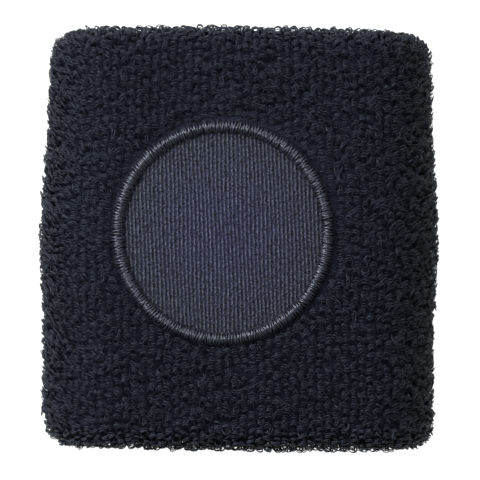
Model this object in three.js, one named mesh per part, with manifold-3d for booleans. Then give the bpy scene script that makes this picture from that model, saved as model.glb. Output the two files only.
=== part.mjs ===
// A terry sweat wristband lying flat on its back, patch up. Millimetres, +Z up.
// The arm passes through along Y. The origin is at the bottom, under the band's centre.
//
// The band is one knitted tube folded in on itself, so its wall has two layers. Most pieces are
// therefore a closed profile, drawn as depth into the wall against Y, swept once round an oval.
import * as THREE from "three";
import { mergeVertices } from "three/addons/utils/BufferGeometryUtils.js";
import Module from "manifold-3d";

const wasm = await Module();
wasm.setup();

// Overall size
const WIDTH = 75;
const LENGTH = 80;
const HEIGHT = 28;

// How the oval tube departs from a plain one
const CROWN = 1.2; // the top's rise at the middle, inside HEIGHT
const BARREL = 0.028; // share of the width lost away from the middle, on the way to each end
const BARREL_RUN = 0.55; // share of the half length over which it is lost
const TAPER = 0.016; // share lost at +Y and gained at -Y
const CORNER = 0.07; // extra share lost right at the ends, which rounds the corners
const CORNER_POWER = 14;
const BOW = 0.02; // share of the length lost at the sides

// The wall, as depths below the outer surface
const WALL = 8.3;
const PILE = 2.0;
const ELASTIC_DEPTH = 2.35;
const ELASTIC_THICKNESS = 0.3;
const GROUND_DEPTH = 2.7;
const GROUND = 0.6;
const PILE_SEAM_GAP = 5.2; // bare strip of ground knit along the closing seam
const GROUND_SEAM_GAP = 0.8; // between the tube's two raw ends

// The elastic yarn
const ELASTIC_TURNS = 16; // the knitted-in yarn goes round about six times as often
const ELASTIC_END = 4; // distance of its ends from the seam

// The closing seam
const SEAM_STITCHES = 66;
const SEAM_THREAD = 0.3;
const UPPER_LOOPER_DEPTH = 6.05;
const LOWER_LOOPER_DEPTH = 4.6;
const LOOPER_REACH = 1.45; // how far a looper thread goes each way across the seam
const NEEDLE_LINE = 2.05; // the needle thread's distance from the seam's middle

// The patch and its border
const PATCH_X = -2.8;
const PATCH_Y = 1.3;
const BORDER_RADIUS = 21;
const BORDER_WIDTH = 2.5;
const BORDER_HEIGHT = 0.8;
const PATCH_RADIUS = 19.9;
const PATCH_DEPTH = 1.05;
const PATCH_THICKNESS = 0.4;
const POCKET_DEPTH = 1.7;
const POCKET_CLEARANCE = 0.3;
const POCKET_CUTTER_PROUD = 1; // how far the disc that cuts the pocket stands out of the pile
const BACKING_DEPTH = 3.55;
const BACKING_THICKNESS = 0.2;
const BOBBIN_DEPTH = 4.0;
const BOBBIN_THICKNESS = 0.2;
const BOBBIN_WIDTH = 1.0;

// Fineness
const ROUND_STEPS = 12; // along each round side of the oval
const FLAT_STEPS = 6; // along its top, and along its bottom
const PATCH_STEPS = 36; // round the patch
const PATCH_RINGS = 3;
const RIM_STEPS = 48; // round the border
const RIM_DOME_STEPS = 6;
const FOLD_STEPS = 8; // round the outside of a fold
const LAYER_STEPS = 6; // along the outer layer, and half as many along each inner half
const ELASTIC_SIDES = 3;
const SEAM_THREAD_SIDES = 4;

const OVAL_RADIUS = (HEIGHT - CROWN) / 2;
const OVAL_FLAT = WIDTH / 2 - OVAL_RADIUS;
const OVAL_STEPS = 2 * (ROUND_STEPS + FLAT_STEPS);
const FOLD_Y = LENGTH / 2 - WALL / 2;
const TOP = 2 * OVAL_RADIUS;

function material(color, roughness) {
  return new THREE.MeshStandardMaterial({ color, roughness, metalness: 0 });
}

// The point of the oval at a step, moved `depth` into the wall. Steps may be fractions, and run
// from the middle of the right side up over the top.
function ovalPoint(step, depth) {
  const radius = OVAL_RADIUS - depth;
  const quarter = ROUND_STEPS / 2;
  let left = step % OVAL_STEPS;
  if (left <= quarter) {
    return roundPoint(OVAL_FLAT, (left / ROUND_STEPS) * Math.PI, radius);
  }
  left -= quarter;
  if (left <= FLAT_STEPS) {
    return { x: OVAL_FLAT * (1 - (2 * left) / FLAT_STEPS), z: OVAL_RADIUS + radius };
  }
  left -= FLAT_STEPS;
  if (left <= ROUND_STEPS) {
    return roundPoint(-OVAL_FLAT, Math.PI / 2 + (left / ROUND_STEPS) * Math.PI, radius);
  }
  left -= ROUND_STEPS;
  if (left <= FLAT_STEPS) {
    return { x: OVAL_FLAT * ((2 * left) / FLAT_STEPS - 1), z: OVAL_RADIUS - radius };
  }
  left -= FLAT_STEPS;
  return roundPoint(OVAL_FLAT, ((left / ROUND_STEPS) - 0.5) * Math.PI, radius);
}

function roundPoint(centreX, angle, radius) {
  return {
    x: centreX + radius * Math.cos(angle),
    z: OVAL_RADIUS + radius * Math.sin(angle),
  };
}

// Gives the plain oval tube its crown, barrel, taper, round corners and bow. The lower half
// stays flat.
function shapePoint(x, y, z) {
  const u = x / (WIDTH / 2);
  const v = y / (LENGTH / 2);
  const barrel = BARREL * THREE.MathUtils.smoothstep(Math.abs(v), 0, BARREL_RUN);
  const corner = CORNER * Math.abs(v) ** CORNER_POWER;
  const lumen = OVAL_RADIUS - WALL;
  const rise = THREE.MathUtils.smoothstep(z, OVAL_RADIUS, OVAL_RADIUS + lumen);
  return [
    x * (1 - barrel - TAPER * v - corner),
    y * (1 - BOW * u * u),
    z + CROWN * rise * Math.max(0, 1 - u * u) * Math.max(0, 1 - v * v),
  ];
}

function shaped(geometry) {
  const position = geometry.getAttribute("position");
  for (let i = 0; i < position.count; i++) {
    position.setXYZ(i, ...shapePoint(position.getX(i), position.getY(i), position.getZ(i)));
  }
  geometry.computeVertexNormals();
  return geometry;
}

// Joins rows of points into a closed skin. Each row is a closed section. The rows close on
// themselves too, or the first and last are capped.
function skin(rows, closed) {
  const count = rows[0].length;
  const vertices = rows.flat(2);
  const faces = [];
  const rowPairs = closed ? rows.length : rows.length - 1;
  for (let i = 0; i < rowPairs; i++) {
    const next = (i + 1) % rows.length;
    for (let j = 0; j < count; j++) {
      const k = (j + 1) % count;
      const [a, b] = [i * count + j, i * count + k];
      const [c, d] = [next * count + k, next * count + j];
      faces.push(a, c, b, a, d, c);
    }
  }
  if (!closed) {
    const last = (rows.length - 1) * count;
    for (let j = 1; j < count - 1; j++) {
      faces.push(0, j, j + 1);
      faces.push(last, last + j + 1, last + j);
    }
  }
  const geometry = new THREE.BufferGeometry();
  geometry.setAttribute("position", new THREE.Float32BufferAttribute(vertices, 3));
  geometry.setIndex(faces);
  return geometry;
}

// A closed profile of {depth, y} points swept once round the oval.
function sweptRound(profile) {
  const rows = [];
  for (let step = 0; step < OVAL_STEPS; step++) {
    rows.push(profile.map(({ depth, y }) => {
      const { x, z } = ovalPoint(step, depth);
      return [x, y, z];
    }));
  }
  return skin(rows, true);
}

function line(depth, from, to, steps) {
  const points = [];
  for (let i = 0; i <= steps; i++) {
    points.push({ depth, y: from + ((to - from) * i) / steps });
  }
  return points;
}

// The points of a fold at one end of the band, between one depth and its mirror in the wall.
function fold(side, fromDepth, steps) {
  const radius = WALL / 2 - fromDepth;
  const points = [];
  for (let i = 1; i < steps; i++) {
    const angle = (i / steps) * Math.PI;
    points.push({
      depth: WALL / 2 - radius * Math.cos(angle),
      y: side * (FOLD_Y + Math.abs(radius) * Math.sin(angle)),
    });
  }
  return points;
}

// One folded layer of cloth: outside, round both folds, and back along the inside to the seam.
function foldedLayer(depth, thickness, seamGap, foldSteps) {
  const far = WALL - depth;
  const outside = [
    ...line(far, seamGap / 2, FOLD_Y, LAYER_STEPS / 2),
    ...fold(1, far, foldSteps),
    ...line(depth, FOLD_Y, -FOLD_Y, LAYER_STEPS),
    ...fold(-1, depth, foldSteps),
    ...line(far, -FOLD_Y, -seamGap / 2, LAYER_STEPS / 2),
  ];
  const inner = depth + thickness;
  const back = WALL - inner;
  const inside = [
    ...line(back, -seamGap / 2, -FOLD_Y, LAYER_STEPS / 2),
    ...fold(-1, back, foldSteps - 2),
    ...line(inner, -FOLD_Y, FOLD_Y, LAYER_STEPS),
    ...fold(1, inner, foldSteps - 2),
    ...line(back, FOLD_Y, seamGap / 2, LAYER_STEPS / 2),
  ];
  return [...outside, ...inside];
}

// A thread along points that each hold {step, depth, y}, with a section of a few equal sides.
function threadRound(points, thickness, sides, closed) {
  const rows = points.map(({ step, depth, y }) => {
    const row = [];
    for (let i = 0; i < sides; i++) {
      const angle = (i / sides) * 2 * Math.PI;
      const { x, z } = ovalPoint(step, depth + (thickness / 2) * Math.cos(angle));
      row.push([x, y + (thickness / 2) * Math.sin(angle), z]);
    }
    return row;
  });
  return skin(rows, closed);
}

function toSolid(geometry) {
  const bare = geometry.clone();
  bare.deleteAttribute("normal");
  bare.deleteAttribute("uv");
  const merged = mergeVertices(bare, 1e-4);
  return new wasm.Manifold(new wasm.Mesh({
    numProp: 3,
    vertProperties: new Float32Array(merged.getAttribute("position").array),
    triVerts: new Uint32Array(merged.index.array),
  }));
}

function toGeometry(solid) {
  const mesh = solid.getMesh();
  const geometry = new THREE.BufferGeometry();
  geometry.setAttribute("position", new THREE.BufferAttribute(mesh.vertProperties, 3));
  geometry.setIndex(new THREE.BufferAttribute(mesh.triVerts, 1));
  return geometry;
}

// A disc of cloth at a depth under the top, in rings so that it can follow the crown.
function disc(radius, depth, thickness) {
  const rings = PATCH_RINGS;
  const upper = TOP - depth;
  const lower = upper - thickness;
  const profile = [new THREE.Vector2(0, lower)];
  for (let i = 1; i <= rings; i++) {
    profile.push(new THREE.Vector2((radius * i) / rings, lower));
  }
  for (let i = rings; i >= 0; i--) {
    profile.push(new THREE.Vector2((radius * i) / rings, upper));
  }
  return turned(profile, PATCH_STEPS);
}

// A profile of radius and height turned about the patch's centre line.
function turned(profile, steps) {
  const geometry = new THREE.LatheGeometry(profile, steps);
  geometry.rotateX(Math.PI / 2);
  geometry.translate(PATCH_X, PATCH_Y, 0);
  return geometry;
}

function terryPile() {
  const layer = foldedLayer(0, PILE, PILE_SEAM_GAP, FOLD_STEPS);
  const cutter = disc(
    BORDER_RADIUS + POCKET_CLEARANCE,
    -POCKET_CUTTER_PROUD,
    POCKET_CUTTER_PROUD + POCKET_DEPTH,
  );
  return toGeometry(toSolid(sweptRound(layer)).subtract(toSolid(cutter)));
}

function groundKnit() {
  return sweptRound(foldedLayer(GROUND_DEPTH, GROUND, GROUND_SEAM_GAP, FOLD_STEPS - 2));
}

// One yarn from raw end to raw end: it winds up the inside, over a fold, down the outside, over
// the other fold and back up the inside.
function elasticYarn() {
  const radius = WALL / 2 - ELASTIC_DEPTH;
  const straight = FOLD_Y - ELASTIC_END;
  const arc = Math.PI * radius;
  const total = 2 * straight + 2 * arc + 2 * FOLD_Y;
  const points = [];
  const steps = ELASTIC_TURNS * OVAL_STEPS;
  for (let i = 0; i <= steps; i++) {
    points.push({ step: i, ...wallPoint((total * i) / steps, straight, arc, radius) });
  }
  return threadRound(points, ELASTIC_THICKNESS, ELASTIC_SIDES, false);
}

// The place in the wall at a distance along the elastic yarn's path across it.
function wallPoint(distance, straight, arc, radius) {
  const depth = WALL - ELASTIC_DEPTH;
  let left = distance;
  if (left <= straight) {
    return { depth, y: ELASTIC_END + left };
  }
  left -= straight;
  if (left <= arc) {
    const angle = left / radius;
    return {
      depth: WALL / 2 + radius * Math.cos(angle),
      y: FOLD_Y + radius * Math.sin(angle),
    };
  }
  left -= arc;
  if (left <= 2 * FOLD_Y) {
    return { depth: ELASTIC_DEPTH, y: FOLD_Y - left };
  }
  left -= 2 * FOLD_Y;
  if (left <= arc) {
    const angle = left / radius;
    return {
      depth: WALL / 2 - radius * Math.cos(angle),
      y: -FOLD_Y - radius * Math.sin(angle),
    };
  }
  left -= arc;
  return { depth, y: -FOLD_Y + left };
}

function looperThread(depth) {
  const points = [];
  for (let i = 0; i < 2 * SEAM_STITCHES; i++) {
    const side = i % 2 === 0 ? 1 : -1;
    points.push({
      step: (i * OVAL_STEPS) / (2 * SEAM_STITCHES),
      depth,
      y: side * LOOPER_REACH,
    });
  }
  return threadRound(points, SEAM_THREAD, SEAM_THREAD_SIDES, true);
}

function needleThread() {
  const points = [];
  for (let step = 0; step < OVAL_STEPS; step++) {
    points.push({ step, depth: UPPER_LOOPER_DEPTH, y: NEEDLE_LINE });
  }
  return threadRound(points, SEAM_THREAD, SEAM_THREAD_SIDES, true);
}

function patchCloth() {
  return disc(PATCH_RADIUS, PATCH_DEPTH, PATCH_THICKNESS);
}

function patchBacking() {
  return disc(BORDER_RADIUS, BACKING_DEPTH, BACKING_THICKNESS);
}

// The satin border: a low dome with a flat underside.
function borderThread() {
  const middle = BORDER_RADIUS - BORDER_WIDTH / 2;
  const underside = TOP - BORDER_HEIGHT;
  const profile = [];
  for (let i = 0; i <= RIM_DOME_STEPS; i++) {
    const angle = (i / RIM_DOME_STEPS) * Math.PI;
    profile.push(new THREE.Vector2(
      middle + (BORDER_WIDTH / 2) * Math.cos(angle),
      underside + BORDER_HEIGHT * Math.sin(angle),
    ));
  }
  profile.push(profile[0].clone());
  return turned(profile, RIM_STEPS);
}

function bobbinThread() {
  const middle = BORDER_RADIUS - BORDER_WIDTH / 2;
  const upper = TOP - BOBBIN_DEPTH;
  const lower = upper - BOBBIN_THICKNESS;
  const outer = middle + BOBBIN_WIDTH / 2;
  const inner = middle - BOBBIN_WIDTH / 2;
  const profile = [
    new THREE.Vector2(outer, lower),
    new THREE.Vector2(outer, upper),
    new THREE.Vector2(inner, upper),
    new THREE.Vector2(inner, lower),
    new THREE.Vector2(outer, lower),
  ];
  return turned(profile, RIM_STEPS);
}

const NAVY_PILE = material(0x22262d, 0.95);
const NAVY_KNIT = material(0x1a1d24, 0.9);
const NAVY_THREAD = material(0x2b2e38, 0.55);
const PATCH_FABRIC = material(0x343a4c, 0.8);
const BACKING_FABRIC = material(0x9a9a98, 0.95);
const ELASTIC_RUBBER = material(0x1c1c20, 0.6);

const pieces = [
  ["terry_pile", terryPile(), NAVY_PILE],
  ["ground_knit", groundKnit(), NAVY_KNIT],
  ["elastic_yarn", elasticYarn(), ELASTIC_RUBBER],
  ["seam_needle_thread", needleThread(), NAVY_THREAD],
  ["seam_upper_looper", looperThread(UPPER_LOOPER_DEPTH), NAVY_THREAD],
  ["seam_lower_looper", looperThread(LOWER_LOOPER_DEPTH), NAVY_THREAD],
  ["patch_cloth", patchCloth(), PATCH_FABRIC],
  ["patch_backing", patchBacking(), BACKING_FABRIC],
  ["border_thread", borderThread(), NAVY_THREAD],
  ["border_bobbin_thread", bobbinThread(), NAVY_THREAD],
];

const wristband = new THREE.Group();
for (const [name, geometry, finish] of pieces) {
  const mesh = new THREE.Mesh(shaped(geometry), finish);
  mesh.name = name;
  wristband.add(mesh);
}

export default wristband;
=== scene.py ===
"""The looks of a terry sweat wristband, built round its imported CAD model.

The band lies on its back with the patch up. Its wall is one knitted tube folded in on itself.
Places in the wall are given by two numbers: how far round the oval, and how far along the knit
from one raw end, over a fold, along the outside, over the other fold and back to the other end.
"""

import math

import bmesh
import bpy
import numpy as np
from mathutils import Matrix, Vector


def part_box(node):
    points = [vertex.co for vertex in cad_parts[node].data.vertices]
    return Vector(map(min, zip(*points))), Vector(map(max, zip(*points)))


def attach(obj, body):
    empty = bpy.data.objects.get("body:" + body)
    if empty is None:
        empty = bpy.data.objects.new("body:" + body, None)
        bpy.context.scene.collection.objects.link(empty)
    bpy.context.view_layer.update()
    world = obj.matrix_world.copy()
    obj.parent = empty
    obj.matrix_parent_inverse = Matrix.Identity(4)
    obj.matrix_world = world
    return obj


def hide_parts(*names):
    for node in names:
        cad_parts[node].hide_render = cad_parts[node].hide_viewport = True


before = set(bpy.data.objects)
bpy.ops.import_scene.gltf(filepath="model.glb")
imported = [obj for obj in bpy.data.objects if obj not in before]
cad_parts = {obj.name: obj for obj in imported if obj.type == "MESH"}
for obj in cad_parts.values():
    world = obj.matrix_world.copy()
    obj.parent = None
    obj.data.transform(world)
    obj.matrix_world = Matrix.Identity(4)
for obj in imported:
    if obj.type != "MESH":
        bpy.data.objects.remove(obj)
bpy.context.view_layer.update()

MM = 0.001

# ---------------------------------------------------------------- the frame


def node_points(node):
    """The corners of a CAD node's mesh, in metres."""
    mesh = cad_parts[node].data
    points = np.empty(len(mesh.vertices) * 3)
    mesh.vertices.foreach_get("co", points)
    return points.reshape(-1, 3)


pile_points = node_points("terry_pile")
pile_low, pile_high = pile_points.min(0), pile_points.max(0)
border_low, border_high = (np.array(corner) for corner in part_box("border_thread"))
patch_low, patch_high = (np.array(corner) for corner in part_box("patch_cloth"))

HALF_WIDTH = (pile_high[0] - pile_low[0]) / 2
HALF_LENGTH = (pile_high[1] - pile_low[1]) / 2
OVAL_RADIUS = pile_points[pile_points[:, 0].argmax(), 2]  # the widest point is half way up
OVAL_FLAT = HALF_WIDTH - OVAL_RADIUS
TOP = 2 * OVAL_RADIUS
PATCH_CENTRE = (border_low[:2] + border_high[:2]) / 2
BORDER_RADIUS = (border_high[0] - border_low[0]) / 2
PATCH_RADIUS = (patch_high[0] - patch_low[0]) / 2

# The same shaping as the CAD model's
WALL = 8.3 * MM
CROWN = 1.2 * MM
BARREL = 0.028
BARREL_RUN = 0.55
TAPER = 0.016
CORNER = 0.07
CORNER_POWER = 14
BOW = 0.02
# Only here: how much less the corner at +X, -Y is rounded than the others, and from how far out
SQUARE_CORNER = 0.95
SQUARE_RUN = 0.6

FOLD_Y = HALF_LENGTH - WALL / 2
SEAM_GAP = 5.2 * MM

# The path along the knit starts at one raw end and finishes at the other, both at the seam inside.
TIP_DEPTH = 0.6 * MM  # the depth in the wall at which lengths round and along it are measured
INSIDE_RUN = FOLD_Y - SEAM_GAP / 2
OUTSIDE_RUN = 2 * FOLD_Y
FOLD_RUN = math.pi * (WALL / 2 - TIP_DEPTH)
PATH_LENGTH = 2 * INSIDE_RUN + 2 * FOLD_RUN + OUTSIDE_RUN
OVAL_LENGTH = 2 * math.pi * (OVAL_RADIUS - TIP_DEPTH) + 4 * OVAL_FLAT
PATCH_DEPTH = 1.15 * MM  # the patch's level below the loop tips
PATCH_THICKNESS = 0.4 * MM
GROUND_DEPTH = 1.9 * MM  # the face of the ground knit, under the leaning loops
GROUND_THICKNESS = 0.6 * MM
RAW_EDGE = SEAM_GAP / 2 - 0.4 * MM  # how far the ground knit goes on past the last loops

rng = np.random.default_rng(7)


def oval(around, depth):
    """X and Z of the oval at a fraction of the way round it, moved depth into the wall."""
    quarter = math.pi / 2 * (OVAL_RADIUS - TIP_DEPTH)
    lengths = np.array([quarter, 2 * OVAL_FLAT, 2 * quarter, 2 * OVAL_FLAT, quarter])
    stops = np.concatenate([[0], np.cumsum(lengths)])
    distance = (around % 1.0) * stops[-1]
    part = np.clip(np.searchsorted(stops, distance, side="right") - 1, 0, 4)
    share = (distance - stops[part]) / lengths[part]
    radius = OVAL_RADIUS - depth
    angle = np.choose(part, [
        share * math.pi / 2,
        np.full_like(share, math.pi / 2),
        math.pi / 2 + share * math.pi,
        np.full_like(share, -math.pi / 2),
        (share - 1) * math.pi / 2,
    ])
    centre = np.choose(part, [
        np.full_like(share, OVAL_FLAT),
        OVAL_FLAT * (1 - 2 * share),
        np.full_like(share, -OVAL_FLAT),
        OVAL_FLAT * (2 * share - 1),
        np.full_like(share, OVAL_FLAT),
    ])
    return centre + radius * np.cos(angle), OVAL_RADIUS + radius * np.sin(angle)


def wall_place(along, below_tips):
    """Depth in the wall and Y, at a distance along the knit and a distance below the loop tips."""
    stops = np.cumsum([0, INSIDE_RUN, FOLD_RUN, OUTSIDE_RUN, FOLD_RUN, INSIDE_RUN])
    part = np.clip(np.searchsorted(stops, along, side="right") - 1, 0, 4)
    share = (along - stops[part]) / np.diff(stops)[part]
    radius = WALL / 2 - below_tips
    turn = share * math.pi
    depth = np.choose(part, [
        WALL - below_tips + 0 * share,
        WALL / 2 + radius * np.cos(turn),
        below_tips + 0 * share,
        WALL / 2 - radius * np.cos(turn),
        WALL - below_tips + 0 * share,
    ])
    y = np.choose(part, [
        SEAM_GAP / 2 + share * INSIDE_RUN,
        FOLD_Y + radius * np.sin(turn),
        FOLD_Y - share * OUTSIDE_RUN,
        -FOLD_Y - radius * np.sin(turn),
        -FOLD_Y + share * INSIDE_RUN,
    ])
    return depth, y


def smooth(value, start, end):
    """0 up to start, 1 from end on, and a smooth rise between."""
    t = np.clip((value - start) / (end - start), 0, 1)
    return t * t * (3 - 2 * t)


def shaped(x, y, z):
    """A point of the plain oval tube, given the band's crown, barrel, taper, corners and bow."""
    u, v = x / HALF_WIDTH, y / HALF_LENGTH
    barrel = BARREL * smooth(np.abs(v), 0, BARREL_RUN)
    square = SQUARE_CORNER * smooth(u, 0, SQUARE_RUN) * (v < 0)
    corner = CORNER * np.abs(v) ** CORNER_POWER * (1 - square)
    rise = smooth(z, OVAL_RADIUS, TOP - WALL)
    crown = CROWN * rise * np.clip(1 - u * u, 0, 1) * np.clip(1 - v * v, 0, 1)
    return np.stack([
        x * (1 - barrel - TAPER * v - corner),
        y * (1 - BOW * u * u),
        z + crown,
    ], axis=-1)


def plain_wall_point(around, along, below_tips):
    """A point of the wall before the soft cloth moves."""
    depth, y = wall_place(along, below_tips)
    x, z = oval(around, depth)
    return shaped(x, y, z)


def top_height(x, y, depth):
    """The height of the band's top at a depth below its outer surface."""
    u, v = x / HALF_WIDTH, y / HALF_LENGTH
    return TOP - depth + CROWN * np.clip(1 - u * u, 0, 1) * np.clip(1 - v * v, 0, 1)


def unit(vectors):
    """The same directions with a length of 1."""
    return vectors / np.linalg.norm(vectors, axis=-1, keepdims=True)


# ---------------------------------------------------------------- mesh helpers


def make_mesh(name, points, *face_sets):
    """A smooth mesh object. Each set of faces is an array with one row of corners to a face."""
    mesh = bpy.data.meshes.new(name)
    mesh.vertices.add(len(points))
    mesh.vertices.foreach_set("co", np.asarray(points, np.float32).ravel())
    corners = np.concatenate([np.asarray(faces, np.int32).ravel() for faces in face_sets])
    sizes = np.concatenate([np.full(len(faces), faces.shape[1]) for faces in face_sets])
    mesh.loops.add(len(corners))
    mesh.loops.foreach_set("vertex_index", corners)
    mesh.polygons.add(len(sizes))
    starts = np.concatenate([[0], np.cumsum(sizes)[:-1]]).astype(np.int32)
    mesh.polygons.foreach_set("loop_start", starts)
    mesh.polygons.foreach_set("use_smooth", np.ones(len(sizes), bool))
    mesh.update(calc_edges=True)
    mesh.validate()
    piece = bpy.data.objects.new(name, mesh)
    bpy.context.scene.collection.objects.link(piece)
    return piece


def grid_faces(rows, columns, rows_close=False, columns_close=False):
    """Faces of a grid of points, whose last row or column may join its first."""
    i = np.arange(rows if rows_close else rows - 1)[:, None]
    j = np.arange(columns if columns_close else columns - 1)[None, :]
    below, beside = (i + 1) % rows, (j + 1) % columns
    return np.stack([
        i * columns + j,
        i * columns + beside,
        below * columns + beside,
        below * columns + j,
    ], axis=-1).reshape(-1, 4)


def tube_faces(count, rings, sides, closed):
    """Faces of many tubes of the same number of rings, and of their end caps."""
    quads = grid_faces(rings, sides, rows_close=closed, columns_close=True)
    offsets = (np.arange(count) * rings * sides)[:, None, None]
    sets = [(quads[None] + offsets).reshape(-1, 4)]
    if not closed:
        first = np.arange(sides)[::-1]
        last = (rings - 1) * sides + np.arange(sides)
        caps = np.stack([first, last])
        sets.append((caps[None] + offsets).reshape(-1, sides))
    return sets


def tube_points(lines, side_way, radius, sides):
    """Rings of points round many centre lines. side_way is roughly across each line."""
    tangent = unit(np.gradient(lines, axis=1))
    across = unit(side_way - (side_way * tangent).sum(-1, keepdims=True) * tangent)
    other = np.cross(tangent, across)
    angle = np.arange(sides) / sides * 2 * math.pi
    radius = np.broadcast_to(radius, lines.shape[:2])[:, :, None, None]
    ring = (
        np.cos(angle)[None, None, :, None] * across[:, :, None]
        + np.sin(angle)[None, None, :, None] * other[:, :, None]
    )
    return (lines[:, :, None] + radius * ring).reshape(-1, 3)


def make_tubes(name, lines, side_way, radius, sides, closed=False):
    points = tube_points(lines, side_way, radius, sides)
    return make_mesh(name, points, *tube_faces(len(lines), lines.shape[1], sides, closed))


def write_attribute(piece, name, values):
    attribute = piece.data.attributes.new(name, "FLOAT", "POINT")
    attribute.data.foreach_set("value", values.astype(np.float32))


def settle(piece, material, node):
    """Gives a piece its material and its body, and hides the CAD node that it stands for."""
    piece.data.materials.append(material)
    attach(piece, "root")
    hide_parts(node)
    return piece


# ---------------------------------------------------------------- materials


class Nodes:
    """Short names for building a node material."""

    def __init__(self, name):
        self.material = bpy.data.materials.new(name)
        self.material.use_nodes = True
        self.tree = self.material.node_tree
        self.shader = self.tree.nodes["Principled BSDF"]

    def add(self, kind, values=(), **settings):
        node = self.tree.nodes.new(kind)
        for key, value in settings.items():
            setattr(node, key, value)
        for key, value in dict(values).items():
            node.inputs[key].default_value = value
        return node

    def link(self, source, target):
        self.tree.links.new(source, target)

    def fix(self, **values):
        for key, value in values.items():
            self.shader.inputs[key.replace("_", " ")].default_value = value

    def coordinates(self, stretch=(1, 1, 1)):
        place = self.add("ShaderNodeTexCoord")
        mapping = self.add("ShaderNodeMapping", {"Scale": stretch})
        self.link(place.outputs["Object"], mapping.inputs["Vector"])
        return mapping.outputs["Vector"]

    def noise(self, scale, detail=2.0, stretch=(1, 1, 1)):
        node = self.add("ShaderNodeTexNoise", {"Scale": scale, "Detail": detail})
        self.link(self.coordinates(stretch), node.inputs["Vector"])
        return node.outputs["Fac"]

    def ramp(self, source, stops):
        node = self.add("ShaderNodeValToRGB")
        while len(node.color_ramp.elements) < len(stops):
            node.color_ramp.elements.new(0.5)
        for element, (place, colour) in zip(node.color_ramp.elements, stops):
            element.position = place
            element.color = (*colour, 1)
        self.link(source, node.inputs["Fac"])
        return node.outputs["Color"]

    def mix(self, kind, first, second, share=1.0):
        node = self.add("ShaderNodeMix", data_type="RGBA", blend_type=kind)
        node.inputs["Factor"].default_value = share
        self.link(first, node.inputs["A"])
        self.link(second, node.inputs["B"])
        return node.outputs["Result"]

    def bump(self, height, distance, strength=1.0):
        node = self.add("ShaderNodeBump", {"Distance": distance, "Strength": strength})
        self.link(height, node.inputs["Height"])
        self.link(node.outputs["Normal"], self.shader.inputs["Normal"])

    def strand(self):
        """A random value for each separate strand of a mesh."""
        return self.add("ShaderNodeNewGeometry").outputs["Random Per Island"]

    def attribute(self, name):
        return self.add("ShaderNodeAttribute", attribute_name=name).outputs["Fac"]

    def colour(self, source):
        self.link(source, self.shader.inputs["Base Color"])

    def roughness(self, source, low, high):
        level = self.ramp(source, [(0.3, grey(low)), (0.7, grey(high))])
        self.link(level, self.shader.inputs["Roughness"])


def grey(level):
    return (level, level, level)


def tint(colour, level):
    return tuple(part * level for part in colour)


def terry_material():
    """Soft cotton yarn: no strand quite like the next, in cloudy lighter and darker patches."""
    nodes = Nodes("terry_yarn")
    colour = (0.0100, 0.0121, 0.0192)
    by_strand = nodes.ramp(nodes.strand(), [
        (0.0, tint(colour, 0.75)),
        (0.55, tint(colour, 0.92)),
        (0.8, tint(colour, 1.15)),
        (1.0, tint(colour, 1.7)),
    ])
    patches = nodes.ramp(nodes.noise(110, 3), [(0.3, grey(0.8)), (0.7, grey(1.0))])
    nodes.colour(nodes.mix("MULTIPLY", by_strand, patches))
    nodes.fix(Roughness=0.44, Specular_IOR_Level=0.31, Specular_Tint=(0.77, 0.88, 1.0, 1))
    return nodes.material


def knit_material():
    """The ground's fine plain knit."""
    nodes = Nodes("ground_yarn")
    fine = nodes.noise(2600, 2, (1, 0.6, 1))
    nodes.colour(nodes.ramp(fine, [
        (0.35, (0.0075, 0.0095, 0.0165)),
        (0.65, (0.0130, 0.0165, 0.0270)),
    ]))
    nodes.roughness(fine, 0.8, 0.95)
    nodes.bump(fine, 0.15 * MM)
    nodes.fix(Specular_IOR_Level=0.1)
    return nodes.material


def thread_material(name, colour, spread, roughness, specular):
    """Smooth embroidery or sewing thread. spread is how much the threads differ in lightness."""
    nodes = Nodes(name)
    nodes.colour(nodes.ramp(nodes.strand(), [
        (0.0, tint(colour, 1 - spread)),
        (0.7, colour),
        (1.0, tint(colour, 1 + spread)),
    ]))
    filaments = nodes.noise(6000, 2)
    nodes.roughness(filaments, roughness - 0.08, roughness + 0.08)
    nodes.bump(filaments, 0.03 * MM)
    nodes.fix(IOR=1.7, Specular_IOR_Level=specular, Specular_Tint=(0.78, 0.85, 1.0, 1))
    return nodes.material


def patch_material():
    """Ribbed cloth, with painted shade down between the ribs, a violet cast towards the middle,
    and darker towards its edge.
    """
    nodes = Nodes("patch_yarn")
    # Painted shade: the colour follows the relief, darker and bluer where the cloth lies low
    # between the ribs.
    rib_painted_shade = nodes.ramp(nodes.attribute("relief"), [
        (0.0, (0.0112, 0.0128, 0.0232)),
        (0.35, (0.0192, 0.0219, 0.0348)),
        (0.75, (0.0415, 0.0457, 0.0572)),
        (1.0, (0.0610, 0.0660, 0.0765)),
    ])
    flecks = nodes.ramp(nodes.noise(2900, 2), [(0.35, grey(0.25)), (0.65, grey(1.7))])
    cast = nodes.ramp(nodes.attribute("middle"), [
        (0.0, (0.86, 0.90, 0.82)),
        (1.0, (0.97, 0.95, 1.15)),
    ])
    nodes.colour(nodes.mix("MULTIPLY", nodes.mix("MULTIPLY", rib_painted_shade, flecks), cast))
    nodes.roughness(nodes.noise(3000), 0.65, 0.85)
    nodes.fix(Specular_IOR_Level=0.06, Sheen_Weight=0.03, Sheen_Roughness=0.5)
    return nodes.material


def elastic_material():
    """Elastic wrapped in fine dark yarn."""
    nodes = Nodes("elastic_covered_yarn")
    wraps = nodes.noise(5200, 1)
    nodes.colour(nodes.ramp(wraps, [
        (0.35, (0.006, 0.006, 0.008)),
        (0.65, (0.016, 0.016, 0.019)),
    ]))
    nodes.roughness(wraps, 0.5, 0.7)
    nodes.bump(wraps, 0.04 * MM)
    return nodes.material


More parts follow.
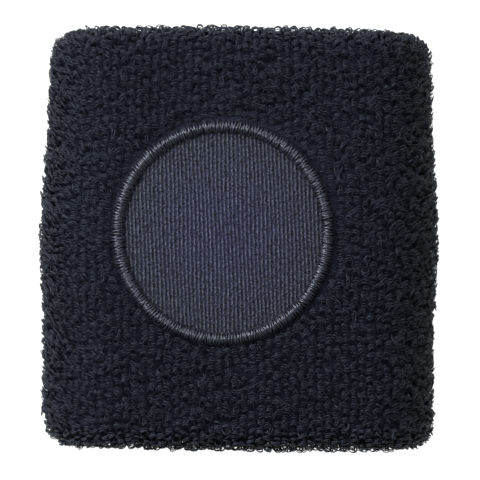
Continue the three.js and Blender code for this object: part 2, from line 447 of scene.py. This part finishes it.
def backing_material():
    """Non-woven backing: pale pressed fibres."""
    nodes = Nodes("backing_fibres")
    fibres = nodes.noise(2400, 4, (1, 0.35, 1))
    nodes.colour(nodes.ramp(fibres, [(0.3, (0.24, 0.24, 0.23)), (0.7, (0.46, 0.46, 0.44))]))
    nodes.roughness(fibres, 0.85, 1.0)
    nodes.bump(fibres, 0.06 * MM)
    return nodes.material


TERRY = terry_material()
KNIT = knit_material()
PATCH = patch_material()
BORDER = thread_material("border_thread_sheen", (0.007, 0.008, 0.014), 0.8, 0.36, 0.58)
SEWING = thread_material("sewing_thread", (0.016, 0.018, 0.026), 0.2, 0.6, 0.3)
ELASTIC = elastic_material()
BACKING = backing_material()

# ---------------------------------------------------------------- the soft wall

PUFF_ROWS = 64  # of the simulated cloth, along the knit
PUFF_COLUMNS = 112  # and round it
PUFF_FRAMES = 14
PUFF_PRESSURE = 1.2
PUFF_MASS = 0.05
PUFF_STIFFNESS = 12  # against stretching and squeezing
PUFF_SHEAR = 6
PUFF_BENDING = 0.3
PUFF_QUALITY = 6
PUFF_MOST = 1.1 * MM  # no point moves further
PUFF_LAST_ROW = PUFF_ROWS - 1.001  # just short of the last, so that there is always a next one
PUFF_HELD = 3 * MM  # the border holds the cloth this far round it
PUFF_FREE = 9 * MM  # and beyond this it is free
FLOOR_HELD = 2.5 * MM  # the floor holds the cloth below this height
FLOOR_FREE = 5 * MM  # and above this it is free


def puff_mesh():
    """The folded knit as one closed cloth, its raw ends joined as the seam joins them."""
    rows = (np.arange(PUFF_ROWS) + 0.5) / PUFF_ROWS * PATH_LENGTH
    columns = np.arange(PUFF_COLUMNS) / PUFF_COLUMNS
    along, around = (part.ravel() for part in np.meshgrid(rows, columns, indexing="ij"))
    points = plain_wall_point(around, along, GROUND_DEPTH)
    faces = grid_faces(PUFF_ROWS, PUFF_COLUMNS, rows_close=True, columns_close=True)
    return make_mesh("puffed_cloth", points, faces), points, along


def held_share(points, along):
    """1 where the border or the floor holds the cloth still, 0 where it is free."""
    outside = np.abs(along - PATH_LENGTH / 2) < OUTSIDE_RUN / 2
    from_patch = np.linalg.norm(points[:, :2] - PATCH_CENTRE, axis=1) - BORDER_RADIUS
    by_border = (points[:, 2] > OVAL_RADIUS) * (1 - smooth(from_patch, PUFF_HELD, PUFF_FREE))
    by_floor = 1 - smooth(points[:, 2], FLOOR_HELD, FLOOR_FREE)
    return outside * np.maximum(by_border, by_floor)


def soften(cloth, held):
    """Makes a mesh a light cloth with air in it, held still as much as held says."""
    group = cloth.vertex_groups.new(name="held")
    for index, share in enumerate(held):
        group.add([index], float(share), "REPLACE")
    settings = cloth.modifiers.new("cloth", "CLOTH").settings
    settings.quality = PUFF_QUALITY
    settings.mass = PUFF_MASS
    settings.tension_stiffness = PUFF_STIFFNESS
    settings.compression_stiffness = PUFF_STIFFNESS
    settings.shear_stiffness = PUFF_SHEAR
    settings.bending_stiffness = PUFF_BENDING
    settings.use_pressure = True
    settings.uniform_pressure_force = PUFF_PRESSURE
    settings.vertex_group_mass = "held"
    settings.effector_weights.gravity = 0


def puff_wall():
    """How far each place of the wall moves when the soft knit is blown up a little."""
    cloth, points, along = puff_mesh()
    soften(cloth, held_share(points, along))
    scene = bpy.context.scene
    for step in range(1, PUFF_FRAMES + 1):
        scene.frame_set(step)
    result = cloth.evaluated_get(bpy.context.evaluated_depsgraph_get()).data
    places = np.empty(len(points) * 3, np.float32)
    result.vertices.foreach_get("co", places)
    moved = places.reshape(-1, 3) - points
    length = np.linalg.norm(moved, axis=1, keepdims=True)
    moved *= PUFF_MOST * np.tanh(length / PUFF_MOST) / np.maximum(length, 1e-9)
    bpy.data.objects.remove(cloth)
    scene.frame_set(1)
    return moved.reshape(PUFF_ROWS, PUFF_COLUMNS, 3)


def wall_point(around, along, below_tips):
    """A point of the wall, moved as the soft cloth moves."""
    row = np.clip(along / PATH_LENGTH * PUFF_ROWS - 0.5, 0, PUFF_LAST_ROW)
    column = (around % 1.0) * PUFF_COLUMNS
    i, j = np.floor(row).astype(int), np.floor(column).astype(int)
    down, right = (row - i)[..., None], (column - j)[..., None]
    j, beside = j % PUFF_COLUMNS, (j + 1) % PUFF_COLUMNS
    upper = puffed[i, j] * (1 - right) + puffed[i, beside] * right
    lower = puffed[i + 1, j] * (1 - right) + puffed[i + 1, beside] * right
    return plain_wall_point(around, along, below_tips) + upper * (1 - down) + lower * down


puffed = puff_wall()

# ---------------------------------------------------------------- the terry loops

COURSE_PITCH = 0.6 * MM
WALE_PITCH = 1.6 * MM
LOOP_STEPS = 9
STRANDS = 2
STRAND_SIDES = 3
STRAND_RADIUS = 0.075 * MM
PLY = 0.19 * MM  # from the middle of the yarn to the middle of a strand
EDGE_THICKER = 0.3  # how much thicker the less worn strands are at the sides and folds
EDGE_CLOSER = 0.4  # and how much closer together
FOLD_LOWER = 0.22  # how much lower the loops stand that the folds press on
LINING_RADIUS = 0.16 * MM  # inside the band a loop is one strand
AWAY_FROM_BORDER = 2.4 * MM  # the width of the groove of low loops round the border
BORDER_LOWER = 0.6  # how much lower the loops stand next to the border
COURSE_SHIFT = 0.5  # of a course: how much further on every second wale is
COURSE_SCATTER = 0.3  # of a course
WALE_SCATTER = 0.11  # of a wale
BEND = 1.1  # how far over a loop leans, in radians
BEND_LEAST, BEND_MOST = 0.4, 1.5
BEND_EARLY = 0.85  # below 1, a loop bends more near its feet
BEND_SCATTER = 0.3  # how much it varies from each loop to the next
BEND_DRIFT = 0.2  # and from each area of the knit to the next
BEND_AREA = 20 * MM  # about how wide such an area is
HEADING_SCATTER = 0.24  # the same for which way a loop leans
HEADING_DRIFT = 0.25
HEADING_AREA = 14 * MM
TWIST_SCATTER = 0.3  # how far a loop turns about its own axis
WILD_SCATTER = 1.3  # and how far one that is twisted far round does
PLY_SCATTER = 0.6  # how far its strands turn about one another
PLY_TURN = 0.5 * math.pi  # from one foot to the other
REVERSED_SHARE = 0.08  # of the loops lean the other way
WILD_SHARE = 0.1  # of the loops are twisted far round
LOOP_WIDTHS = (1.0 * MM, 1.55 * MM)
LOOP_HEIGHTS = (0.65, 1.1)  # of the height of the pile
LOOP_FOOT = 0.35  # how far apart a loop's feet are, of its width
LOOP_SPREAD = 1.5  # what that gains as the loop rises
GAP_FOOT, GAP_SPREAD = 0.7, 0.6  # the same for the strands, of the gap between them
AROUND_STEP = 0.002  # of the way round, to find which way a course runs
NEAR_TIPS = 0.1 * GROUND_DEPTH
WAVES = 6
WAVE_ROUND = 180 * MM  # about the band's length round
WAVE_START = 7  # the most, in radians
WAVE_SUM = 2.4  # brings the sum of the waves to about -1 to 1
# From X = SIDE_START to SIDE_END, and likewise in Y, loops become those of the sides and the folds
SIDE_START, SIDE_END = 0.82 * HALF_WIDTH, 0.95 * HALF_WIDTH
FOLD_START, FOLD_END = HALF_LENGTH - 6 * MM, HALF_LENGTH - 3 * MM


def coherent(around, along, scale, seed):
    """A random value, about -1 to 1, that changes slowly over the knit: a sum of a few waves."""
    waves = np.random.default_rng(seed)
    total = np.zeros_like(around)
    for _ in range(WAVES):
        turns = round(waves.normal(0, WAVE_ROUND / scale))
        rate = waves.normal(0, 1 / scale)
        wave = 2 * math.pi * (turns * around + rate * along)
        total += np.sin(wave + waves.uniform(0, WAVE_START))
    return total / WAVE_SUM


def scatter_loops():
    """Where every loop stands: courses and wales, shifted as soft yarn is."""
    courses = round(PATH_LENGTH / COURSE_PITCH)
    wales = round(OVAL_LENGTH / WALE_PITCH)
    course, wale = np.meshgrid(np.arange(courses), np.arange(wales), indexing="ij")
    course, wale = course.ravel(), wale.ravel()
    count = len(course)
    course = course + COURSE_SHIFT * (wale % 2)
    course = course + rng.normal(COURSE_SHIFT / 2, COURSE_SCATTER, count)
    wale = wale + rng.normal(0, WALE_SCATTER, count)
    along = course / courses * PATH_LENGTH
    around = wale / wales
    return around % 1.0, np.clip(along, 0, PATH_LENGTH)


def loop_frames(around, along):
    """Where each loop stands, which way is out of the cloth, along the course, and up the wale."""
    foot = wall_point(around, along, GROUND_DEPTH)
    out = unit(wall_point(around, along, NEAR_TIPS) - foot)
    before = wall_point(around - AROUND_STEP, along, TIP_DEPTH)
    after = wall_point(around + AROUND_STEP, along, TIP_DEPTH)
    course = before - after
    course = unit(course - (course * out).sum(-1, keepdims=True) * out)
    return foot, out, course, np.cross(out, course)


def loop_shapes(around, along, frames, near_border):
    """The size, lean and twist of each loop. Neighbours lean much the same way."""
    foot, _, course, wale = frames
    count = len(around)
    bend = BEND + BEND_DRIFT * coherent(around, along, BEND_AREA, 3)
    bend += rng.normal(0, BEND_SCATTER, count)
    heading = HEADING_DRIFT * coherent(around, along, HEADING_AREA, 5)
    heading += rng.normal(0, HEADING_SCATTER, count)
    heading = np.where(rng.random(count) < REVERSED_SHARE, heading + math.pi, heading)
    away = (foot - np.append(PATCH_CENTRE, TOP)) / BORDER_RADIUS
    free = 1 - near_border
    lean_x = free * np.sin(heading) + near_border * (away * course).sum(-1)
    lean_y = free * np.cos(heading) + near_border * (away * wale).sum(-1)
    wild = rng.random(count) < WILD_SHARE
    by_side = smooth(np.abs(foot[:, 0]), SIDE_START, SIDE_END)
    by_fold = smooth(np.abs(foot[:, 1]), FOLD_START, FOLD_END)
    edge = np.maximum(by_side, by_fold)
    height = rng.uniform(*LOOP_HEIGHTS, count) * GROUND_DEPTH
    return {
        "bend": np.clip(bend, BEND_LEAST, BEND_MOST),
        "heading": np.arctan2(lean_x, lean_y),
        "height": height * (1 - BORDER_LOWER * near_border) * (1 - FOLD_LOWER * by_fold),
        "width": rng.uniform(*LOOP_WIDTHS, count),
        "twist": np.where(
            wild, rng.normal(0, WILD_SCATTER, count), rng.normal(0, TWIST_SCATTER, count)
        ),
        "ply": rng.normal(0, PLY_SCATTER, count),
        "gap": PLY * (1 - EDGE_CLOSER * edge),
        "thicker": 1 + EDGE_THICKER * edge,
    }


def loop_lines(frames, shapes, strands):
    """The strands of every loop: an arch on narrow feet that bends over and twists as it rises."""
    foot, out, course, wale = (part[:, None] for part in frames)
    shape = {name: value[:, None] for name, value in shapes.items()}
    t = np.linspace(0, 1, LOOP_STEPS + 1)[None, :]
    arch = np.sin(math.pi * t)
    bend = shape["bend"] * arch ** BEND_EARLY
    reach = shape["height"] / np.sin(shape["bend"])
    up = reach * np.sin(bend)
    over = reach * (1 - np.cos(bend))
    half = -np.cos(math.pi * t) * (LOOP_FOOT + LOOP_SPREAD * arch) * shape["width"] / 2
    turn = shape["twist"] * arch
    x = half * np.cos(turn) + over * np.sin(shape["heading"])
    y = half * np.sin(turn) + over * np.cos(shape["heading"])
    middle = foot + x[..., None] * course + y[..., None] * wale + up[..., None] * out
    side = np.cos(turn)[..., None] * wale - np.sin(turn)[..., None] * course
    lines = []
    for strand in range(strands):
        ply = shape["ply"] + PLY_TURN * (t - 0.5) + 2 * math.pi * strand / strands
        spread = (strands > 1) * shape["gap"] * (GAP_FOOT + GAP_SPREAD * arch)
        apart = np.cos(ply)[..., None] * side + np.sin(ply)[..., None] * out
        lines.append(middle + spread[..., None] * apart)
    return np.concatenate(lines), np.concatenate([side] * strands)


def build_some_loops(title, frames, shapes, strands, radius):
    """One piece made of the loops given, pressed flat where they reach the floor."""
    lines, side_way = loop_lines(frames, shapes, strands)
    thickness = radius * np.tile(shapes["thicker"], strands)[:, None]
    lines[..., 2] = np.maximum(lines[..., 2], thickness)
    piece = make_tubes(title, lines, side_way, thickness, STRAND_SIDES)
    return settle(piece, TERRY, "terry_pile")


def patch_room(foot, outside):
    """Which loops clear the patch, and how near to its border each is, from 0 to 1."""
    on_top = outside & (foot[:, 2] > OVAL_RADIUS)
    from_patch = np.linalg.norm(foot[:, :2] - PATCH_CENTRE, axis=1)
    groove_end = BORDER_RADIUS + AWAY_FROM_BORDER
    near_border = on_top * (1 - smooth(from_patch, BORDER_RADIUS, groove_end))
    return ~(on_top & (from_patch < BORDER_RADIUS)), near_border


def build_loops():
    """All the loops, except under the patch, in pieces of a convenient size."""
    around, along = scatter_loops()
    frames = loop_frames(around, along)
    middle = PATH_LENGTH / 2
    outside = np.abs(along - middle) < OUTSIDE_RUN / 2
    cuff = ~outside & (np.abs(along - middle) < OUTSIDE_RUN / 2 + FOLD_RUN)
    keep, near_border = patch_room(frames[0], outside)
    shapes = loop_shapes(around, along, frames, near_border)
    # Name, which loops are in it, pieces round the band, and a loop's strands and their radius
    regions = (
        ("terry_outside", outside, 6, STRANDS, STRAND_RADIUS),
        ("terry_cuff", cuff, 2, STRANDS, STRAND_RADIUS),
        ("terry_inside", ~outside & ~cuff, 2, 1, LINING_RADIUS),
    )
    pieces = []
    for name, region, sectors, strands, radius in regions:
        sector = np.floor(around * sectors).astype(int)
        for end, half in (("far", along < middle), ("near", along >= middle)):
            for index in range(sectors):
                picked = region & half & keep & (sector == index)
                some_frames = [part[picked] for part in frames]
                some_shapes = {key: value[picked] for key, value in shapes.items()}
                title = f"{name}_{end}_{index + 1}"
                pieces.append(build_some_loops(title, some_frames, some_shapes, strands, radius))
    return pieces


loops = build_loops()

# ---------------------------------------------------------------- the ground knit

GROUND_ROWS = 150
GROUND_COLUMNS = 180


def build_ground():
    """The knitted sheet under the loops, as one folded layer with its two raw ends apart."""
    rows = np.linspace(-RAW_EDGE, PATH_LENGTH + RAW_EDGE, GROUND_ROWS)
    columns = np.arange(GROUND_COLUMNS) / GROUND_COLUMNS
    along, around = (part.ravel() for part in np.meshgrid(rows, columns, indexing="ij"))
    face = wall_point(around, along, GROUND_DEPTH)
    back = wall_point(around, along, GROUND_DEPTH + GROUND_THICKNESS)
    points = np.concatenate([face, back])
    quads = grid_faces(GROUND_ROWS, GROUND_COLUMNS, columns_close=True)
    count = len(face)
    here = np.arange(GROUND_COLUMNS)
    beside = (here + 1) % GROUND_COLUMNS
    last = count - GROUND_COLUMNS
    first_edge = np.stack([here, here + count, beside + count, beside], -1)
    last_edge = last + np.stack([here, beside, beside + count, here + count], -1)
    piece = make_mesh("ground_sheet", points, quads, quads[:, ::-1] + count, first_edge, last_edge)
    settle(piece, KNIT, "ground_knit")
    return piece


ground = build_ground()

# ---------------------------------------------------------------- inside the wall

ELASTIC_TURNS = 60
ELASTIC_STEPS = 60  # to a turn
ELASTIC_RADIUS = 0.14 * MM
ELASTIC_SIDES = 4
SEAM_STITCHES = 66
SEAM_THREAD_RADIUS = 0.14 * MM
SEAM_THREAD_SIDES = 6
LOOPER_REACH = 1.6 * MM  # how far a looper thread goes each way across the seam
LOOPER_BULGE = 0.15 * MM  # how far it stands off the seam at the middle
LOOPER_FULLER = 0.3  # how much fuller its turns are than a sine's
LOOPER_STEPS = 12  # to a stitch
NEEDLE_LINE = 1.5 * MM  # the needle thread's distance from the seam's middle
NEEDLE_SHARPER = 2.5  # how sharply it turns down into the knit and up again
NEEDLE_STEPS = 14  # to a stitch
ANY_WAY = (0.31, 0.17, 0.93)  # a direction that no thread runs along
BACKING_THICKNESS = 0.2 * MM
BACKING_DEPTH = GROUND_DEPTH + GROUND_THICKNESS + 0.1 * MM
BACKING_GRID = 150  # points each way
DIMPLE_PITCH = 1.1 * MM
DIMPLE_DEPTH = BACKING_THICKNESS / 3
DIMPLE_SHARPNESS = 8
BOBBIN_REACH = 0.8 * MM
BOBBIN_RADIUS = 0.1 * MM
BOBBIN_SIDES = 4
BOBBIN_STEPS = 4  # to a stitch


def inner_point(around, y, below_tips):
    """A point of the inner layer, near the seam, at a distance y from the seam's middle."""
    return wall_point(around, y - SEAM_GAP / 2, below_tips)


def make_thread(name, line, radius, sides, closed):
    """One long thread along a line of points."""
    ahead = np.roll(line, -1, axis=0) - np.roll(line, 1, axis=0)
    side_way = np.cross(ahead, ANY_WAY)
    return make_tubes(name, line[None], side_way[None], radius, sides, closed)


def build_elastic():
    """One elastic yarn, laid in the ground knit round and round from end to end."""
    steps = ELASTIC_TURNS * ELASTIC_STEPS
    share = np.arange(steps + 1) / steps
    middle = GROUND_DEPTH + GROUND_THICKNESS / 2
    line = wall_point(share * ELASTIC_TURNS, share * PATH_LENGTH, middle)
    piece = make_thread("elastic_laid_yarn", line, ELASTIC_RADIUS, ELASTIC_SIDES, False)
    settle(piece, ELASTIC, "elastic_yarn")


def build_looper(name, node, below_tips, bulge):
    """A zigzag over the two raw ends of the tube, standing off them at the middle."""
    steps = SEAM_STITCHES * LOOPER_STEPS
    share = np.arange(steps) / steps
    swing = np.sin(2 * math.pi * SEAM_STITCHES * share)
    y = LOOPER_REACH * swing * (1 + LOOPER_FULLER * (1 - swing ** 2))
    off = bulge * (1 - swing ** 2)
    line = inner_point(share, y, below_tips + off)
    piece = make_thread(name, line, SEAM_THREAD_RADIUS, SEAM_THREAD_SIDES, True)
    settle(piece, SEWING, node)


def build_needle():
    """A row of stitches that goes to and fro through the ground knit beside the seam."""
    steps = SEAM_STITCHES * NEEDLE_STEPS
    share = np.arange(steps) / steps
    dip = np.cos(2 * math.pi * SEAM_STITCHES * share)
    dip = np.tanh(NEEDLE_SHARPER * dip) / math.tanh(NEEDLE_SHARPER)
    middle = GROUND_DEPTH + GROUND_THICKNESS / 2
    depth = middle - dip * (GROUND_THICKNESS / 2 + SEAM_THREAD_RADIUS)
    line = inner_point(share, NEEDLE_LINE, depth)
    name = "seam_needle_stitches"
    piece = make_thread(name, line, SEAM_THREAD_RADIUS, SEAM_THREAD_SIDES, True)
    settle(piece, SEWING, "seam_needle_thread")


over_ground = GROUND_DEPTH - SEAM_THREAD_RADIUS
under_ground = GROUND_DEPTH + GROUND_THICKNESS + SEAM_THREAD_RADIUS
build_elastic()
build_looper("seam_upper_zigzag", "seam_upper_looper", over_ground, -LOOPER_BULGE)
build_looper("seam_lower_zigzag", "seam_lower_looper", under_ground, LOOPER_BULGE)
build_needle()

# ---------------------------------------------------------------- the patch

RIB_PITCH = 0.74 * MM
RIB_HEIGHT = 0.35 * MM
RIB_TILT = 0.04  # the ribs lean over a little
RIB_WANDER = 0.10 * MM
WANDER_ACROSS, WANDER_ALONG = 2.3 * MM, 4.1 * MM  # how quickly the wander changes
RIB_SHARPNESS = 3
RIB_STITCH = 0.5 * MM  # the length of a stitch along a rib
RIB_WAVE = 0.09  # how far a stitch pushes its rib aside, of the pitch
LOOSE_WAVE = 0.08  # and how far the looser fibres do
LOOSE_LENGTH = 0.22 * MM
UNEVEN_LENGTH = 0.5 * MM
RIB_DIP = 0.12  # half of how much lower a rib is between stitches, and at its looser fibres
RIB_STARTS = np.random.default_rng(11).uniform(0, 1, 61)  # where the stitches of each rib start
PATCH_COLUMNS = 400
PATCH_ROWS = 300


def patch_relief(x, y):
    """How far the ribbed cloth stands up, 0 to 1: rows of small stitches, not quite regular."""
    wander = RIB_WANDER * np.sin(x / WANDER_ACROSS + y / WANDER_ALONG) + RIB_TILT * y
    rib = np.floor((x + wander) / RIB_PITCH)
    start = RIB_STARTS[rib.astype(int) % len(RIB_STARTS)]
    phase = 2 * math.pi * (y / RIB_STITCH + start)
    uneven = 2 * np.sin(y / UNEVEN_LENGTH + rib)
    loose = np.sin(40 * start + y / LOOSE_LENGTH * (0.7 + 0.6 * start) + uneven)
    across = (x + wander) / RIB_PITCH - rib + RIB_WAVE * np.sin(phase) + LOOSE_WAVE * loose
    ridge = np.sin(math.pi * np.clip(across, 0, 1)) ** RIB_SHARPNESS
    return ridge * (1 - 2 * RIB_DIP + RIB_DIP * np.cos(phase) + RIB_DIP * loose)


def close_underneath(piece, thickness):
    """Drops a wall from the edge of an open sheet and closes it with a flat back."""
    work = bmesh.new()
    work.from_mesh(piece.data)
    rim = [edge for edge in work.edges if edge.is_boundary]
    made = bmesh.ops.extrude_edge_only(work, edges=rim)["geom"]
    for part in made:
        if isinstance(part, bmesh.types.BMVert):
            part.co.z -= thickness
    rim = [edge for edge in work.edges if edge.is_boundary]
    bmesh.ops.contextual_create(work, geom=rim)
    bmesh.ops.recalc_face_normals(work, faces=work.faces)
    work.to_mesh(piece.data)
    work.free()


def make_disc(name, radius, depth, thickness, columns, rows, raised, relief_of):
    """A disc of cloth centred on the patch. relief_of says how far it stands up, 0 to 1."""
    xs = np.linspace(-radius, radius, columns)
    ys = np.linspace(-radius, radius, rows)
    x, y = np.meshgrid(xs, ys)
    place = np.stack([x + PATCH_CENTRE[0], y + PATCH_CENTRE[1]])
    relief = relief_of(x, y)
    height = top_height(*place, depth) + raised * relief
    points = np.stack([*place, height], -1).reshape(-1, 3)
    quads = grid_faces(rows, columns)
    from_middle = np.hypot(x, y).ravel() / radius
    quads = quads[(from_middle < 1)[quads].all(1)]
    used, quads = np.unique(quads, return_inverse=True)
    piece = make_mesh(name, points[used], quads.reshape(-1, 4))
    # The patch's material paints shade from this relief, darker where the cloth lies low.
    write_attribute(piece, "relief", relief.ravel()[used])
    write_attribute(piece, "middle", 1 - from_middle[used] ** 2)
    close_underneath(piece, thickness)
    return piece


def build_patch():
    """The ribbed cloth, whose edge is under the border."""
    piece = make_disc(
        "patch_ribbed_cloth", PATCH_RADIUS, PATCH_DEPTH, PATCH_THICKNESS,
        PATCH_COLUMNS, PATCH_ROWS, RIB_HEIGHT, patch_relief,
    )
    settle(piece, PATCH, "patch_cloth")


def pressed_dimples(x, y):
    """The dimples that hold the backing's fibres together, in a diagonal lattice."""
    lattice = np.cos(math.pi * (x + y) / DIMPLE_PITCH) * np.cos(math.pi * (x - y) / DIMPLE_PITCH)
    return 1 - lattice ** DIMPLE_SHARPNESS


def build_backing():
    """The disc behind the ground knit that the border is sewn through."""
    piece = make_disc(
        "backing_disc", BORDER_RADIUS, BACKING_DEPTH + DIMPLE_DEPTH, BACKING_THICKNESS,
        BACKING_GRID, BACKING_GRID, DIMPLE_DEPTH, pressed_dimples,
    )
    settle(piece, BACKING, "patch_backing")


build_patch()
build_backing()

# ---------------------------------------------------------------- the border

STITCHES = 460
STITCH_RADIUS = 0.15 * MM
STITCH_SIDES = 4
BORDER_WIDTH = 2.8 * MM
BORDER_MIDDLE = BORDER_RADIUS - 1.45 * MM
BORDER_RISE = 1.2 * MM
BORDER_LONGER = 1.012  # the ring isn't quite round
BORDER_CENTRE = PATCH_CENTRE - np.array([0.2, 0.25]) * MM  # nor quite in the middle of the patch
STITCH_STEPS = 10
STITCH_SLANT = 2  # how many stitches further round a stitch ends than it starts
SLANT_SCATTER = 1.6
START_SCATTER = 0.15  # of a stitch
RISE_SCATTER = 0.16
REACH_SCATTER = 0.07 * MM
UNDER_EDGE = 0.08  # the part of a stitch that goes on down past each edge of the dome


def build_border():
    """Satin stitches: thread laid to and fro over the patch's edge, standing up as a dome."""
    stitch = np.arange(STITCHES)
    t = np.linspace(0, 1, STITCH_STEPS + 1)[None, :]
    swing = math.pi * ((1 + 2 * UNDER_EDGE) * t - UNDER_EDGE)
    to_and_fro = np.where(stitch % 2 == 0, 1, -1)
    slant = to_and_fro * STITCH_SLANT + rng.normal(0, SLANT_SCATTER, STITCHES)
    start = stitch + rng.normal(0, START_SCATTER, STITCHES)
    angle = (start[:, None] + slant[:, None] * (t - 0.5)) / STITCHES * 2 * math.pi
    reach = rng.normal(0, REACH_SCATTER, STITCHES)[:, None]
    radius = BORDER_MIDDLE + (BORDER_WIDTH / 2 - STITCH_RADIUS + reach) * np.cos(swing)
    dome = np.sin(swing) * np.abs(np.sin(swing))
    rise = BORDER_RISE * (1 + rng.normal(0, RISE_SCATTER, STITCHES))[:, None] * dome
    x = BORDER_CENTRE[0] + radius * np.cos(angle)
    y = BORDER_CENTRE[1] + BORDER_LONGER * radius * np.sin(angle)
    z = top_height(x, y, PATCH_DEPTH) + rise
    lines = np.stack([x, y, z], -1)
    side_way = np.stack([-np.sin(angle), np.cos(angle), 0 * angle], -1)
    piece = make_tubes("border_satin_stitches", lines, side_way, STITCH_RADIUS, STITCH_SIDES)
    settle(piece, BORDER, "border_thread")


def build_bobbin():
    """The under side of the same stitching: a narrow zigzag behind the backing."""
    steps = STITCHES * BOBBIN_STEPS
    share = np.arange(steps) / steps
    swing = np.sin(math.pi * STITCHES * share)
    radius = BORDER_MIDDLE + BOBBIN_REACH * swing
    x = PATCH_CENTRE[0] + radius * np.cos(2 * math.pi * share)
    y = PATCH_CENTRE[1] + radius * np.sin(2 * math.pi * share)
    z = top_height(x, y, BACKING_DEPTH + BACKING_THICKNESS + 2 * BOBBIN_RADIUS)
    line = np.stack([x, y, z], -1)
    piece = make_thread("border_bobbin_zigzag", line, BOBBIN_RADIUS, BOBBIN_SIDES, True)
    settle(piece, SEWING, "border_bobbin_thread")


build_border()
build_bobbin()

# ---------------------------------------------------------------- floor, light and camera

FLOOR_SIZE = 4  # in metres, as all the lengths here are
CAMERA_FIELD = 90.4 * MM  # the width that the picture takes in
CAMERA_DISTANCE = 0.9
CAMERA_PLACE = (0.18 * MM, -0.28 * MM)
CAMERA_ROLL = 0.0095
SENSOR_WIDTH = 36
SKY_STRENGTH = 0.60
LIT_PLACE = (0, 0, 20 * MM)


def build_floor():
    """White, and giving off light of its own, so that no shadow shows on it."""
    bpy.ops.mesh.primitive_plane_add(size=FLOOR_SIZE, location=(0, 0, 0))
    floor = bpy.context.object
    floor.name = "floor"
    nodes = Nodes("floor_white")
    nodes.fix(Base_Color=(0.12, 0.12, 0.12, 1), Roughness=0.8, Emission_Strength=0.98)
    nodes.shader.inputs["Emission Color"].default_value = (1, 1, 1, 1)
    floor.data.materials.append(nodes.material)


def area_light(name, place, size, power):
    """A square lamp that faces the middle of the band."""
    data = bpy.data.lights.new(name, "AREA")
    data.size = size
    data.energy = power
    light = bpy.data.objects.new(name, data)
    light.location = place
    way = Vector(LIT_PLACE) - Vector(place)
    light.rotation_euler = way.to_track_quat("-Z", "Y").to_euler()
    bpy.context.scene.collection.objects.link(light)


def build_camera():
    """Looks straight down, turned by CAMERA_ROLL."""
    data = bpy.data.cameras.new("camera")
    data.sensor_width = SENSOR_WIDTH
    data.lens = SENSOR_WIDTH * CAMERA_DISTANCE / CAMERA_FIELD
    camera = bpy.data.objects.new("camera", data)
    camera.location = (*CAMERA_PLACE, OVAL_RADIUS + CAMERA_DISTANCE)
    camera.rotation_euler.z = CAMERA_ROLL
    bpy.context.scene.collection.objects.link(camera)
    bpy.context.scene.camera = camera


def build_sky():
    """White light from all round."""
    world = bpy.data.worlds.new("studio")
    world.use_nodes = True
    background = world.node_tree.nodes["Background"]
    background.inputs["Color"].default_value = (1, 1, 1, 1)
    background.inputs["Strength"].default_value = SKY_STRENGTH
    bpy.context.scene.world = world


build_floor()
area_light("key", place=(-0.32, 0.13, 0.28), size=0.22, power=3.5)
area_light("fill", place=(0.02, 0.45, 0.36), size=0.45, power=3.4)
build_camera()
build_sky()
bpy.context.scene.view_settings.view_transform = "Standard"
